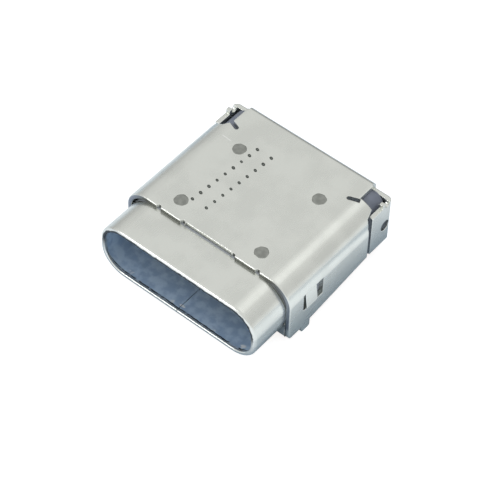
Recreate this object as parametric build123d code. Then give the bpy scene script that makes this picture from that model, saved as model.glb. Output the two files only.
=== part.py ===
"""Double-shell USB-C receptacle for a circuit board, in millimetres.

The origin is the middle of the mouth, in the plane of its rim. The mouth faces -Y, so +Y
runs into the connector, +X is to the right seen from the front and +Z points up from the board.
"""
from build123d import *
from math import radians, tan
import os

# Mouth and drawn inner tube
mouth_width = 8.34
mouth_height = 2.56
mouth_corner = 1.05
tube_wall = 0.25
tube_length = 7.50
tube_rim_round = 0.15
tube_lip_round = 0.05
seam_width = 0.03
seam_key_y = 3.80
seam_key_width = 0.90
seam_key_depth = 0.45
seam_key_flare = 0.12
barb_window_inset = 1.57
barb_window_size = 0.70

# Folded outer cover
cover_sheet = 0.22
cover_side_play = 0.01
cover_bend = 1.20
cover_front = 2.06
rear_room = 1.94
cover_lip_round = 0.06
plate_inset = 1.05
bend_end_inset = 0.07
rear_bend_inside = 0.08
setback_half = 1.30
setback_depth = 0.10
edge_notch_radius = 0.12
edge_notch_inset = 1.86
skirt_above_tube_base = 0.03
skirt_step = 0.10
skirt_rise = 0.47
skirt_corner = 0.18

# Rear corners, where wall, shoulder and top plate fold apart
wall_slit = 0.38
wall_corner_height = 0.34
wall_corner_length = 0.18
right_shoulder_setback = 1.25
right_shoulder_slope = 0.02
left_shoulder_setback = 1.76
left_shoulder_slope = 0.28
shoulder_drop = 0.32
shoulder_step = 0.14
relief_width = 0.21
relief_setback = 1.42
relief_length = 0.41
relief_angle = 21.5

# Ears: the rear wall folded round both rear corners
ear_inset = 0.13
ear_length = 1.50
ear_top_drop = 0.56
ear_low_rise = 0.31
ear_bend_inside = 0.05
ear_hole_diameter = 0.58
ear_hole_setback = 0.48
ear_hole_drop = 1.30
rear_top_drop = 0.47
nib_setback = 0.76
nib_length = 0.20
nib_height = 0.22
ear_relief_radius = 0.17
ear_relief_setback = 0.42
tail_window_height = 0.10
tail_window_margin = 0.10

# Lanced grip tabs in both side walls
tab_setback = 1.08
tab_width = 0.74
tab_slit = 0.12
tab_window_behind = 0.49
tab_above_bend = 0.07
tab_length = 0.90
tab_gap = 0.12
tab_lean = 7.0

# Feet
foot_drop = 0.35
foot_setback = 0.88
foot_width = 0.58
foot_round = 0.14
rear_foot_width = 0.70

# Tongue with its base block
tongue_side_gap = 0.825
tongue_thickness = 0.70
tongue_tip = 1.02
tongue_tip_bevel = 0.12
tongue_tip_corner = 0.30
root_wider = 0.41
root_thickness = 1.60
root_length = 1.05
base_length = 0.80
base_inset = 0.50
base_play = 0.02
barb_proud = 0.17
latch_notch_y = 2.55
latch_notch_length = 0.60
latch_notch_depth = 0.35

# Mid plate and grounding plates
mid_plate_thickness = 0.15
mid_plate_front = 1.20
mid_plate_corner = 0.30
mid_plate_past_tube = 0.10
mid_plate_hole_spacing = 1.60
mid_plate_hole_diameter = 0.45
ground_sheet = 0.12
ground_narrower = 1.20
ground_into_base = 0.35
ground_slot_count = 3
ground_slot_width = 0.80
ground_slot_length = 0.32
ground_slot_setback = 0.30

# Contacts
contact_count = 12
contact_pitch = 0.50
contact_width = 0.25
contact_thickness = 0.15
contact_proud = 0.01
long_contact_names = ("01", "04", "09", "12")
long_start = 1.35
short_start = 1.80
bend_radius = 0.10
upper_drop_gap = 0.47
lower_drop_gap = 0.40
tail_past_cover = 0.51
tail_gap = 0.16

# Contact carriers and rear housing
carrier_margin = 0.275
carrier_play = 0.10
carrier_bevel = 0.15
upper_carrier_gap = 0.25
lower_carrier_gap = 0.24
housing_gap = 0.05
housing_play = 0.03
housing_corner = 0.80
housing_rib_play = 0.02
stand_off = 0.30

# How far a cut runs past a piece, and how far two joined shapes lap
cut_past = 1.0
lap = 0.1

# Values worked out from the ones above
tube_width = mouth_width + 2 * tube_wall
tube_height = mouth_height + 2 * tube_wall
tube_corner = mouth_corner + tube_wall
barb_window_x = mouth_width / 2 - barb_window_inset
cover_half = tube_width / 2 + cover_side_play + cover_sheet
cover_top = tube_height / 2 + cover_sheet
cover_inner_top = cover_top - cover_sheet
cover_rear = tube_length + rear_room
skirt_low = -(tube_height / 2 - skirt_above_tube_base)
feet_z = skirt_low - foot_drop
board_z = feet_z + stand_off
plate_half = cover_half - plate_inset
rear_fold = cover_sheet + rear_bend_inside
ear_half = cover_half - ear_inset
ear_front = cover_rear - ear_length
ear_top = cover_top - ear_top_drop
ear_low = skirt_low + ear_low_rise
ear_fold = cover_sheet + ear_bend_inside
skirt_rear = ear_front - wall_slit
wall_inner_y = cover_rear - cover_sheet
foot_front = cover_front + foot_setback
tab_front = cover_front + tab_setback
tab_rear = tab_front + tab_width
tab_root = cover_top - cover_bend + tab_above_bend
tab_tip = tab_root - tab_length
tongue_width = mouth_width - 2 * tongue_side_gap
tongue_half = tongue_thickness / 2
root_width = tongue_width + root_wider
base_rear = tube_length - base_inset
base_front = base_rear - base_length
base_middle = (base_front + base_rear) / 2
root_front = base_front - root_length
row_z = tongue_half + contact_proud - contact_thickness / 2
upper_drop_y = wall_inner_y - upper_drop_gap
lower_drop_y = tube_length + lower_drop_gap
upper_tail_end = cover_rear + tail_past_cover
lower_tail_end = upper_drop_y - contact_thickness - tail_gap
carrier_width = (contact_count - 1) * contact_pitch + contact_width + 2 * carrier_margin
carrier_height = mouth_height / 2 - carrier_play
tail_window_half = carrier_width / 2
rear_foot_x = tail_window_half + tail_window_margin + rear_foot_width / 2
upper_carrier_rear = upper_drop_y - upper_carrier_gap
lower_carrier_rear = lower_drop_y - lower_carrier_gap
housing_front = tube_length + housing_gap


def slab(x, y, z):
    """Box from three pairs of limits."""
    size = (x[1] - x[0], y[1] - y[0], z[1] - z[0])
    middle = ((x[0] + x[1]) / 2, (y[0] + y[1]) / 2, (z[0] + z[1]) / 2)
    return Pos(*middle) * Box(*size)


def drawn_section(width, height, corner, y_from, y_to):
    """Rounded rectangle about the tube's axis, carried from one Y to another."""
    face = Plane((0, y_from, 0), x_dir=(1, 0, 0), z_dir=(0, 1, 0)) * RectangleRounded(width, height, corner)
    return extrude(face, amount=y_to - y_from)


def side_profile(points, x_from, x_to):
    """Outline in the YZ plane carried across from one X to another."""
    face = Plane.YZ * make_face(Polyline(*points, close=True))
    return Pos(x_from, 0, 0) * extrude(face, amount=x_to - x_from)


def both_sides(solid):
    """A piece on the right with its mirror image on the left."""
    return solid + mirror(solid, about=Plane.YZ)


def edges_at(solid, y):
    """Edges that lie wholly in the plane of one Y."""
    def lies_there(edge):
        box = edge.bounding_box()
        return abs(box.min.Y - y) < 1e-5 and abs(box.max.Y - y) < 1e-5
    return solid.edges().filter_by(lies_there)


def seam_cut():
    """Thin line of the tube's butt seam under the mouth, with one dovetail key."""
    near = seam_key_y - seam_key_width / 2
    far = seam_key_y + seam_key_width / 2
    line = Polyline((0, -cut_past), (0, near), (seam_key_depth, near - seam_key_flare),
                    (seam_key_depth, far + seam_key_flare), (0, far), (0, tube_length + cut_past))
    return Pos(0, 0, -tube_height / 2 - lap) * extrude(trace(line, seam_width), amount=tube_wall + 2 * lap)


def inner_shell():
    """Drawn tube that the plug slides into, open at both ends, with barb windows in its floor."""
    outer = drawn_section(tube_width, tube_height, tube_corner, 0, tube_length)
    outer = fillet(edges_at(outer, 0), tube_rim_round)
    tube = outer - drawn_section(mouth_width, mouth_height, mouth_corner, -cut_past, tube_length + cut_past)
    tube = fillet(edges_at(tube, 0), tube_lip_round)
    floor = (-tube_height / 2 - lap, -mouth_height / 2 + lap)
    reach = barb_window_size / 2
    window = slab((barb_window_x - reach, barb_window_x + reach), (base_middle - reach, base_middle + reach), floor)
    return tube - both_sides(window) - seam_cut()


def cover_arch(inset, y_from, y_to, bottom):
    """Solid arch under the cover's outer face, or under its inner face for an inset of one sheet."""
    half = cover_half - inset
    top = cover_top - inset
    radius = cover_bend - inset
    sketch = Plane.XZ * make_face(
        Polyline((-half, top - radius), (-half, bottom), (half, bottom), (half, top - radius))
        + JernArc((half, top - radius), (0, 1), radius, 90)
        + Line((half - radius, top), (-half + radius, top))
        + JernArc((-half + radius, top), (-1, 0), radius, 90))
    return Pos(0, y_from, 0) * extrude(sketch, amount=-(y_to - y_from))


def cover_tab():
    """Grip tab on the right: lanced free on three sides and leaning outwards to its lower edge."""
    shift = tab_length * tan(radians(tab_lean))
    inner = cover_half - cover_sheet
    profile = Plane.XZ * make_face(Polyline((inner, tab_root), (cover_half, tab_root), (cover_half + shift, tab_tip),
                                            (inner + shift, tab_tip), close=True))
    return Pos(0, tab_front, 0) * extrude(profile, amount=-tab_width)


def tab_window():
    """What is punched out round the right tab: a thin slit in front, a slit below and a wide window behind."""
    across = (cover_half - cover_sheet - lap / 2, cover_half + cut_past)
    return slab(across, (tab_front - tab_slit, tab_rear + tab_window_behind), (tab_tip - tab_gap, tab_root))


def foot(width, height):
    """Outline of a short foot with rounded tips, in its own plane."""
    face = Rectangle(width, height, align=(Align.CENTER, Align.MIN))
    lower = face.vertices().group_by(Axis.Y)[0]
    return fillet(lower, min(foot_round, 0.45 * width))


def front_feet():
    """One foot under each side wall near the front."""
    plane = Plane((cover_half - cover_sheet, foot_front + foot_width / 2, feet_z), x_dir=(0, 1, 0), z_dir=(1, 0, 0))
    return both_sides(extrude(plane * foot(foot_width, foot_drop + lap), amount=cover_sheet))


def rear_feet():
    """One foot under each end of the rear wall."""
    plane = Plane((rear_foot_x, cover_rear, feet_z), x_dir=(1, 0, 0), z_dir=(0, -1, 0))
    return both_sides(extrude(plane * foot(rear_foot_width, ear_low - feet_z + lap), amount=cover_sheet))


def ear_strip(inset):
    """Plan of the rear wall and both ears: an open-ended U with rounded rear corners."""
    half = ear_half - inset
    back = cover_rear - inset
    face = make_face(Polyline((-half, ear_front), (-half, back), (half, back), (half, ear_front), close=True))
    corners = face.vertices().filter_by(lambda v: v.Y > back - 1e-6)
    return fillet(corners, ear_fold - inset)


def ear_top_cut():
    """Side view of what is cut off above an ear: its level top, the nib and the round relief by the corner."""
    nib_front = cover_rear - nib_setback
    nib_rear = nib_front + nib_length
    relief_y = cover_rear - ear_relief_setback
    rear_top = cover_top - rear_top_drop
    high = cover_top + cut_past
    nib_top = ear_top + nib_height
    points = ((ear_front - cut_past, ear_top), (nib_front, ear_top), (nib_front, nib_top), (nib_rear, nib_top),
              (relief_y, rear_top), (cover_rear + cut_past, rear_top), (cover_rear + cut_past, high),
              (ear_front - cut_past, high))
    above = side_profile(points, -ear_half - cut_past, ear_half + cut_past)
    relief = Pos(0, relief_y, rear_top) * Rot(0, 90, 0) * Cylinder(ear_relief_radius, 4 * ear_half)
    return above + relief


def rear_wall():
    """Rear wall and its two ears: one strip folded round both rear corners, and the piece up to the plate."""
    outer = extrude(Pos(0, 0, ear_low) * ear_strip(0), amount=cover_top - ear_low)
    inner = extrude(Pos(0, 0, ear_low - lap) * ear_strip(cover_sheet), amount=cover_top - ear_low + 2 * lap)
    wall = outer - inner - slab((-ear_half - lap, ear_half + lap), (ear_front - cut_past, ear_front),
                                (feet_z, cover_top + lap)) - ear_top_cut()
    bend_half = plate_half - bend_end_inset
    reach = slab((-bend_half, bend_half), (wall_inner_y, cover_rear),
                 (cover_top - rear_top_drop - lap, cover_top - rear_fold))
    wall = wall + reach
    hole = Pos(0, cover_rear - ear_hole_setback, ear_top - ear_hole_drop) * Rot(0, 90, 0) \
        * Cylinder(ear_hole_diameter / 2, 4 * ear_half)
    window = slab((-tail_window_half, tail_window_half), (wall_inner_y - lap, cover_rear + lap),
                  (ear_low - lap, ear_low + tail_window_height))
    return wall - hole - window


def rear_bend():
    """Quarter bend that turns the top plate down into the rear wall."""
    axis_y = cover_rear - rear_fold
    axis_z = cover_top - rear_fold
    half = plate_half - bend_end_inset
    ring = Pos(0, axis_y, axis_z) * Rot(0, 90, 0) * (Cylinder(rear_fold, 2 * half)
                                                     - Cylinder(rear_fold - cover_sheet, 4 * half))
    return ring & slab((-half, half), (axis_y, cover_rear + lap), (axis_z, cover_top + lap))


def corner_cut(shoulder_setback, slope):
    """What is cut away at the right rear corner, so that wall, shoulder and plate fold apart.

    The shoulder's rear end runs straight across, or slopes forwards from the plate's edge.
    """
    far = cover_half + cut_past
    end = cover_rear + cut_past
    high = cover_top + cut_past
    shoulder_rear = cover_rear - shoulder_setback
    outline = make_face(Polyline((plate_half, cover_rear - relief_setback), (plate_half + slope, shoulder_rear),
                                 (far, shoulder_rear), (far, end), (plate_half, end), close=True))
    plate = Pos(0, 0, feet_z) * extrude(outline, amount=high - feet_z)
    step = cover_top - shoulder_drop
    low_step = step - shoulder_step
    corner = low_step - wall_corner_height
    points = ((shoulder_rear, step), (skirt_rear + wall_corner_length, low_step), (skirt_rear, corner),
              (skirt_rear, feet_z), (end, feet_z), (end, step))
    side = side_profile(points, plate_half, far)
    slot = Pos(plate_half, cover_rear - relief_setback, cover_top) * Rot(0, 0, relief_angle) * (
        Pos(-relief_length, 0, 0) * Cylinder(relief_width / 2, cut_past)
        + Pos((lap - relief_length) / 2, 0, 0) * Box(relief_length + lap, relief_width, cut_past))
    return plate + side + slot


def skirt_cut():
    """What steps the side walls up behind the feet, lifts them to the rear and rounds their front corner."""
    start = foot_front + foot_width
    end = cover_rear + cut_past
    below = skirt_low - cut_past
    lift = skirt_rise * (end - start) / (skirt_rear - start)
    stepped = skirt_low + skirt_step
    wedge = side_profile(((start, below), (start, stepped), (end, stepped + lift), (end, below)),
                         -cover_half - lap, cover_half + lap)
    round_y = cover_front + skirt_corner
    round_z = skirt_low + skirt_corner
    corner = slab((-cover_half - lap, cover_half + lap), (cover_front - lap, round_y), (skirt_low - lap, round_z))
    bend = Pos(0, round_y, round_z) * Rot(0, 90, 0) * Cylinder(skirt_corner, 4 * cover_half)
    return wedge + (corner - bend)


def cover():
    """Folded outer cover: top plate, rounded shoulders, side walls, grip tabs, feet, rear wall and ears."""
    outer = cover_arch(0, cover_front, cover_rear - rear_fold, skirt_low)
    rim = edges_at(outer, cover_front).filter_by(lambda edge: edge.bounding_box().max.Z > skirt_low + 1e-4)
    outer = fillet(rim, cover_lip_round)
    shell = outer - cover_arch(cover_sheet, cover_front - cut_past, cover_rear + cut_past, skirt_low - cut_past)
    left_cut = mirror(corner_cut(left_shoulder_setback, left_shoulder_slope), about=Plane.YZ)
    right_cut = corner_cut(right_shoulder_setback, right_shoulder_slope)
    shell = shell - right_cut - left_cut - both_sides(tab_window()) - skirt_cut()
    shell = shell - slab((-setback_half, setback_half), (cover_front - lap, cover_front + setback_depth),
                         (cover_inner_top - lap, cover_top + lap))
    for place in (setback_half + edge_notch_radius, cover_half - edge_notch_inset):
        notch = Pos(place, cover_front, cover_top) * Cylinder(edge_notch_radius, cut_past)
        shell = shell - both_sides(notch)
    return shell + both_sides(cover_tab()) + rear_bend() + rear_wall() + front_feet() + rear_feet()


def contact_path(start, row, drop_y, tail_end):
    """Side view of a contact: pad, run to the rear, bend down to the board and flat solder tail."""
    t = contact_thickness
    board = board_z
    z = row * row_z
    inner, outer = bend_radius, bend_radius + t
    top = z + t / 2
    low = z - t / 2
    back = drop_y
    lines = (Line((start, low), (start, top))
             + Line((start, top), (back - outer, top))
             + RadiusArc((back - outer, top), (back, top - outer), outer)
             + Line((back, top - outer), (back, board + t + inner))
             + RadiusArc((back, board + t + inner), (back + inner, board + t), -inner)
             + Line((back + inner, board + t), (tail_end, board + t))
             + Line((tail_end, board + t), (tail_end, board))
             + Line((tail_end, board), (back + inner, board))
             + RadiusArc((back + inner, board), (back - t, board + outer), outer)
             + Line((back - t, board + outer), (back - t, low - inner))
             + RadiusArc((back - t, low - inner), (back - outer, low), -inner)
             + Line((back - outer, low), (start, low)))
    return make_face(lines)


def contact(number, row):
    """One formed contact of the upper row (row 1) or the lower row (row -1)."""
    start = long_start if f"{number:02d}" in long_contact_names else short_start
    drop_y, tail_end = (upper_drop_y, upper_tail_end) if row > 0 else (lower_drop_y, lower_tail_end)
    x = (number - (contact_count + 1) / 2) * contact_pitch * -row
    body = extrude(Plane.YZ * contact_path(start, row, drop_y, tail_end), amount=contact_width / 2, both=True)
    return Pos(x, 0, 0) * body


def mid_plate():
    """Steel plate between the two contact rows, with the latch notches at the tongue's sides."""
    half = tongue_width / 2
    plate = slab((-half, half), (mid_plate_front, tube_length + mid_plate_past_tube),
                 (-mid_plate_thickness / 2, mid_plate_thickness / 2))
    plate = chamfer(plate.edges().filter_by(Axis.Z).group_by(Axis.Y)[0], mid_plate_corner)
    for x in (-mid_plate_hole_spacing, 0, mid_plate_hole_spacing):
        plate = plate - Pos(x, (root_front + mid_plate_front) / 2, 0) \
            * Cylinder(mid_plate_hole_diameter / 2, cut_past)
    return plate - latch_notches()


def latch_notches():
    """Notches at both edges of the tongue where the plug's latches snap in."""
    half = tongue_width / 2
    cut = slab((half - latch_notch_depth, half + lap), (latch_notch_y, latch_notch_y + latch_notch_length),
               (-tongue_thickness, tongue_thickness))
    return both_sides(cut)


def ground_plate(side):
    """Grounding plate on the tongue's thick root, above (side 1) or below (side -1)."""
    z = root_thickness / 2
    t = ground_sheet
    width = root_width - ground_narrower
    rear = base_front + ground_into_base
    plate = side_profile(((root_front - t, tongue_half), (root_front, tongue_half), (root_front, z),
                          (rear, z), (rear, z + t), (root_front - t, z + t)), -width / 2, width / 2)
    step = width / ground_slot_count
    slot_front = root_front + ground_slot_setback
    for i in range(ground_slot_count):
        x = (i - (ground_slot_count - 1) / 2) * step
        slot = slab((x - ground_slot_width / 2, x + ground_slot_width / 2),
                    (slot_front, slot_front + ground_slot_length), (z - lap, z + t + lap))
        plate = plate - slot
    return plate if side > 0 else mirror(plate, about=Plane.XY)


def barb():
    """Barb under the base block on the right, which snaps into the tube's window."""
    reach = barb_window_size / 2 - 2 * base_play
    floor = -mouth_height / 2
    near, far = base_middle - reach, base_middle + reach
    return side_profile(((near, floor + lap), (near, floor - base_play), (far, floor - barb_proud),
                         (far, floor + lap)), barb_window_x - reach, barb_window_x + reach)


def tongue(inserts):
    """Overmoulded tongue, its thick root and the base block that closes the tube, round its inserts."""
    blade = slab((-tongue_width / 2, tongue_width / 2), (tongue_tip, base_front), (-tongue_half, tongue_half))
    tip = blade.edges().filter_by(Axis.X).group_by(Axis.Y)[0]
    blade = chamfer(tip, tongue_tip_bevel)
    corners = blade.edges().filter_by(Axis.Z).group_by(Axis.Y)[0]
    blade = fillet(corners, tongue_tip_corner)
    root = slab((-root_width / 2, root_width / 2), (root_front, base_front),
                (-root_thickness / 2, root_thickness / 2))
    base = drawn_section(mouth_width - 2 * base_play, mouth_height - 2 * base_play, mouth_corner - base_play,
                         base_front, base_rear)
    body = blade + root + base + both_sides(barb()) - latch_notches()
    for insert in inserts:
        body = body - insert
    return body


def carrier(side, rear, inserts):
    """Moulded bar that holds one row of contacts behind the base block."""
    inner = mid_plate_thickness / 2
    low, high = sorted((side * inner, side * carrier_height))
    bar = slab((-carrier_width / 2, carrier_width / 2), (base_rear, rear), (low, high))
    edge = bar.edges().filter_by(Axis.X).group_by(Axis.Z)[-1 if side > 0 else 0]
    bar = chamfer(edge, carrier_bevel)
    for insert in inserts:
        bar = bar - insert
    return bar


def rear_housing():
    """Insulator behind the tube: it fills the cover's rear end and combs the upper contacts down."""
    half = ear_half - cover_sheet - housing_play
    top = cover_inner_top - housing_play
    back = wall_inner_y - housing_play
    section = make_face(Polyline((-half, board_z), (half, board_z), (half, top), (-half, top), close=True))
    section = fillet(section.vertices().group_by(Axis.Y)[-1], housing_corner)
    block = Pos(0, housing_front, 0) * extrude(Plane.XZ * section, amount=-(back - housing_front))
    upright = block.edges().filter_by(Axis.Z).group_by(Axis.Y)[-1]
    block = fillet(upright, ear_bend_inside)
    crown = slab((-cover_half, cover_half), (cover_rear - rear_fold - lap, cover_rear),
                 (cover_top - rear_fold - lap / 2, cover_top))
    pocket_half = carrier_width / 2 + 2 * housing_rib_play
    pocket = slab((-pocket_half, pocket_half), (housing_front - lap, upper_carrier_rear),
                  (board_z - lap, carrier_height + housing_rib_play))
    block = block - crown - pocket
    slot_top = row_z + contact_thickness / 2 + housing_rib_play
    reach = contact_width / 2 + housing_rib_play
    for i in range(contact_count):
        x = (i - (contact_count - 1) / 2) * contact_pitch
        block = block - slab((x - reach, x + reach), (upper_carrier_rear - lap, back + lap),
                             (board_z - lap, slot_top))
    return block


def write(name, solid):
    """Writes one named piece to its own STEP file."""
    solid.label = name
    export_step(solid, f"parts/{name}.step")
    print(name, len(solid.solids()), round(solid.volume, 4))


def main():
    os.makedirs("parts", exist_ok=True)
    upper = {n: contact(n, 1) for n in range(1, contact_count + 1)}
    lower = {n: contact(n, -1) for n in range(1, contact_count + 1)}
    plate = mid_plate()
    grounds = {"upper_ground_plate": ground_plate(1), "lower_ground_plate": ground_plate(-1)}
    write("inner_shell", inner_shell())
    write("cover", cover())
    write("mid_plate", plate)
    for name, solid in grounds.items():
        write(name, solid)
    write("tongue", tongue([plate, *grounds.values(), *upper.values(), *lower.values()]))
    write("upper_contact_carrier", carrier(1, upper_carrier_rear, upper.values()))
    write("lower_contact_carrier", carrier(-1, lower_carrier_rear, lower.values()))
    write("rear_housing", rear_housing())
    for number, solid in upper.items():
        write(f"contact_a{number:02d}", solid)
    for number, solid in lower.items():
        write(f"contact_b{number:02d}", solid)


main()
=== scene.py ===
"""Finishes, weld spots, front tabs, marking dots, stage, light and camera of a double-shell receptacle.

Lengths are metres. The mouth faces -Y, +X is right seen from the front and the board lies
at -Z. The origin is the middle of the mouth, in the plane of its rim.
"""
import math

import bpy
import numpy as np
from bpy.props import FloatProperty, FloatVectorProperty, IntProperty, PointerProperty
from mathutils import Matrix, Vector


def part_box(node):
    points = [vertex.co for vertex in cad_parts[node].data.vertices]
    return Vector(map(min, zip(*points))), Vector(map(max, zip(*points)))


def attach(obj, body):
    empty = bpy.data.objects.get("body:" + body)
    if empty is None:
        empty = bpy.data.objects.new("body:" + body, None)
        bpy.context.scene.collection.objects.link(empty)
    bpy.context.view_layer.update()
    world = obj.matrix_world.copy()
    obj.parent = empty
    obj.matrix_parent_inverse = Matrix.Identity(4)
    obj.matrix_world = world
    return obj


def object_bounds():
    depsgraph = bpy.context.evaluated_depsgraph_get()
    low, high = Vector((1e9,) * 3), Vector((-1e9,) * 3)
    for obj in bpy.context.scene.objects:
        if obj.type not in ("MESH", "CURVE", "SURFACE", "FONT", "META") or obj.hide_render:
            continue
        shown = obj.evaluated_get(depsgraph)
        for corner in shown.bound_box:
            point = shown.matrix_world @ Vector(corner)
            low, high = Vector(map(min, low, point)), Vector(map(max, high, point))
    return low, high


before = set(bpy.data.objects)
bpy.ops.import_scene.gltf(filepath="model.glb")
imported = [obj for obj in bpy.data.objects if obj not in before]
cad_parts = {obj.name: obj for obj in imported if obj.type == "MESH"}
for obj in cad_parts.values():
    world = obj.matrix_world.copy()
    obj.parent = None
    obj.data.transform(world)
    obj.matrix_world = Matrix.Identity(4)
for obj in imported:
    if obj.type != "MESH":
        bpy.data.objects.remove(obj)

bl_info = {
    "name": "Receptacle Finish",
    "version": (1, 0, 0),
    "blender": (4, 5, 0),
    "location": "3D View > Sidebar > Receptacle",
    "description": "Finishes, weld spots, front tabs, marking dots and stage of a board receptacle",
    "category": "Object",
}

MM = 0.001
cad_box = [list(corner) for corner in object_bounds()]
cover_low, cover_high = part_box("cover")
tube_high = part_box("inner_shell")[1]
floor_level = cad_box[0][2]

# Sizes and levels of the solids that their boxes don't give.
TUBE_WALL = 0.25 * MM
TUBE_CORNER = 1.30 * MM
MOUTH_HALF = (tube_high.x - TUBE_WALL, tube_high.z - TUBE_WALL)
MOUTH_CORNER = TUBE_CORNER - TUBE_WALL
COVER_FRONT = cover_low.y
SET_BACK_HALF = 1.30 * MM
SKIRT_LOW = -1.50 * MM
TAIL_LEVEL = -1.10 * MM
TAIL_SOFT = 0.06 * MM

# Ends of the steps between two tones of the cover, each from where it is 0 to where it is 1. The end faces'
# tones are painted shade over the duller cut.
NEAR_FRONT = (COVER_FRONT + 0.40 * MM, COVER_FRONT + 0.20 * MM)
NEAR_SKIRT = (-0.70 * MM, -1.05 * MM)
SET_BACK = (SET_BACK_HALF + 0.02 * MM, SET_BACK_HALF - 0.02 * MM)
TOWARDS_SIDES = (3.4 * MM, 4.4 * MM)
ON_TOP = (cover_high.z - 0.05 * MM, cover_high.z - 0.02 * MM)
FACING_FRONT = (-0.84, -0.96)

# The nick on the cover's top: its ends, the step across its half width and the softness of its ends.
NICK_ENDS = ((-3.40 * MM, 7.12 * MM), (-2.88 * MM, 7.08 * MM))
NICK_ACROSS = (0.035 * MM, 0.008 * MM)
NICK_SOFT = 0.05 * MM

# Steps between two tones of the tube, by distance from the mouth's outline or depth behind the rim: painted
# blue shade inside the mouth, painted shade under the cover, and a rim lightened by wear and painted
# highlight.
WALL_INSIDE = (0.06 * MM, 0.02 * MM)
WALL_OUTSIDE = (0.02 * MM, 0.06 * MM)
BEHIND_RIM = (0.06 * MM, 0.20 * MM)
AT_RIM = (0.10 * MM, 0.02 * MM)
UNDER_COVER = (COVER_FRONT - 0.02 * MM, COVER_FRONT + 0.04 * MM)

# The random mottles in the painted blue shade on the wall inside the mouth.
MOTTLE_SIZE = 0.4 * MM

# The painted shadow line at the lip: its waves, its two halves, and where it lies on the rim and on the
# wall.
LINE_WAVE = 0.30 * MM
LINE_STRAY = 0.14 * MM
LINE_UPPER_HALF = (-0.5 * MM, 0.5 * MM)
LINE_RIM_DEPTH = (0.145 * MM, 0.115 * MM)
LINE_RIM_FACE = (0.07 * MM, 0.04 * MM)
LINE_WALL_START = (0.12 * MM, 0.14 * MM)
LINE_WALL_REACH = 0.15 * MM
LINE_WALL_SOFT = 0.012 * MM
LINE_WALL_SIDE = (0.04 * MM, 0.02 * MM)
LINE_BOTTOM = (-0.9 * MM, -1.2 * MM)
LINE_BOTTOM_EXTRA = 0.04 * MM

# The small bright marks behind the lower lip: their size, depth behind the rim and level.
LIP_MARK_SIZE = 0.55 * MM
LIP_MARK_DEPTH = (0.16 * MM, 0.42 * MM)
LIP_MARK_SOFT = 0.06 * MM
LIP_MARK_LEVEL = (-0.9 * MM, -1.1 * MM)

# Real heights of the bump where the noise is 1.
SHEET_BUMP = 0.0006 * MM
PLATE_BUMP = 0.0008 * MM
RESIN_BUMP = 0.002 * MM
WELD_BUMP = 0.0015 * MM
DOT_BUMP = 0.001 * MM

# Rings and sectors of the low buttons, and how far their feet lie in the cover.
WELD_GRID = (22, 48)
WELD_SUNK = 0.03 * MM
DOT_GRID = (3, 14)
DOT_SUNK = 0.02 * MM
DOT_SEED = 7

# The camera's sensor in Blender's own millimetres, and the depths that it sees.
SENSOR_WIDTH = 36.0
VIEW_DEPTH = (1 * MM, 10.0)

# Lamps: the place of each and the side of its square.
FRONT_LAMP = ((-45 * MM, -95 * MM, 60 * MM), 45 * MM)
OVERHEAD_LAMP = ((12 * MM, 72 * MM, 130 * MM), 70 * MM)

# Steps to where the mirrored floor is dimmed, on the left and in a band behind, and how much it loses.
FLOOR_LEFT = (-4.5 * MM, -8.0 * MM)
FLOOR_LEFT_LOSS = 0.24
FLOOR_BEHIND = (11.5 * MM, 32.0 * MM)
FLOOR_BEHIND_SOFT = 1.5 * MM
FLOOR_BEHIND_LOSS = 0.75

# Heights in the sky with the tones that metal sees, and the low parts left and behind that lose some.
SKY_TONES = ((0.0, 1.0), (0.08, 0.93), (0.26, 0.68), (0.55, 0.71), (0.77, 0.78), (1.0, 0.86))
SKY_LEFT = (-0.3, -0.85)
SKY_LEFT_LOW = (0.45, 0.05)
SKY_LEFT_LOSS = 0.42
SKY_BEHIND = (0.68, 0.88)
SKY_BEHIND_LOW = (0.62, 0.25)
SKY_BEHIND_LOSS = 0.7


def colour(name, note, default):
    """A colour of the panel, linear red, green and blue."""
    return FloatVectorProperty(name=name, description=note, default=default, size=3, min=0.0, max=1.0,
                               subtype='COLOR')


def length(name, note, default):
    """A length of the panel, given in millimetres and kept in metres."""
    return FloatProperty(name=name, description=note, default=default * MM, min=0.0, precision=5,
                         subtype='DISTANCE', unit='LENGTH')


def share(name, note, default, top=1.0):
    """A plain number of the panel from nothing to its top."""
    return FloatProperty(name=name, description=note, default=default, min=0.0, max=top)


def angle(name, note, default):
    """An angle of the panel, given in degrees and kept in radians."""
    return FloatProperty(name=name, description=note, default=math.radians(default), subtype='ANGLE',
                         unit='ROTATION')


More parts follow.
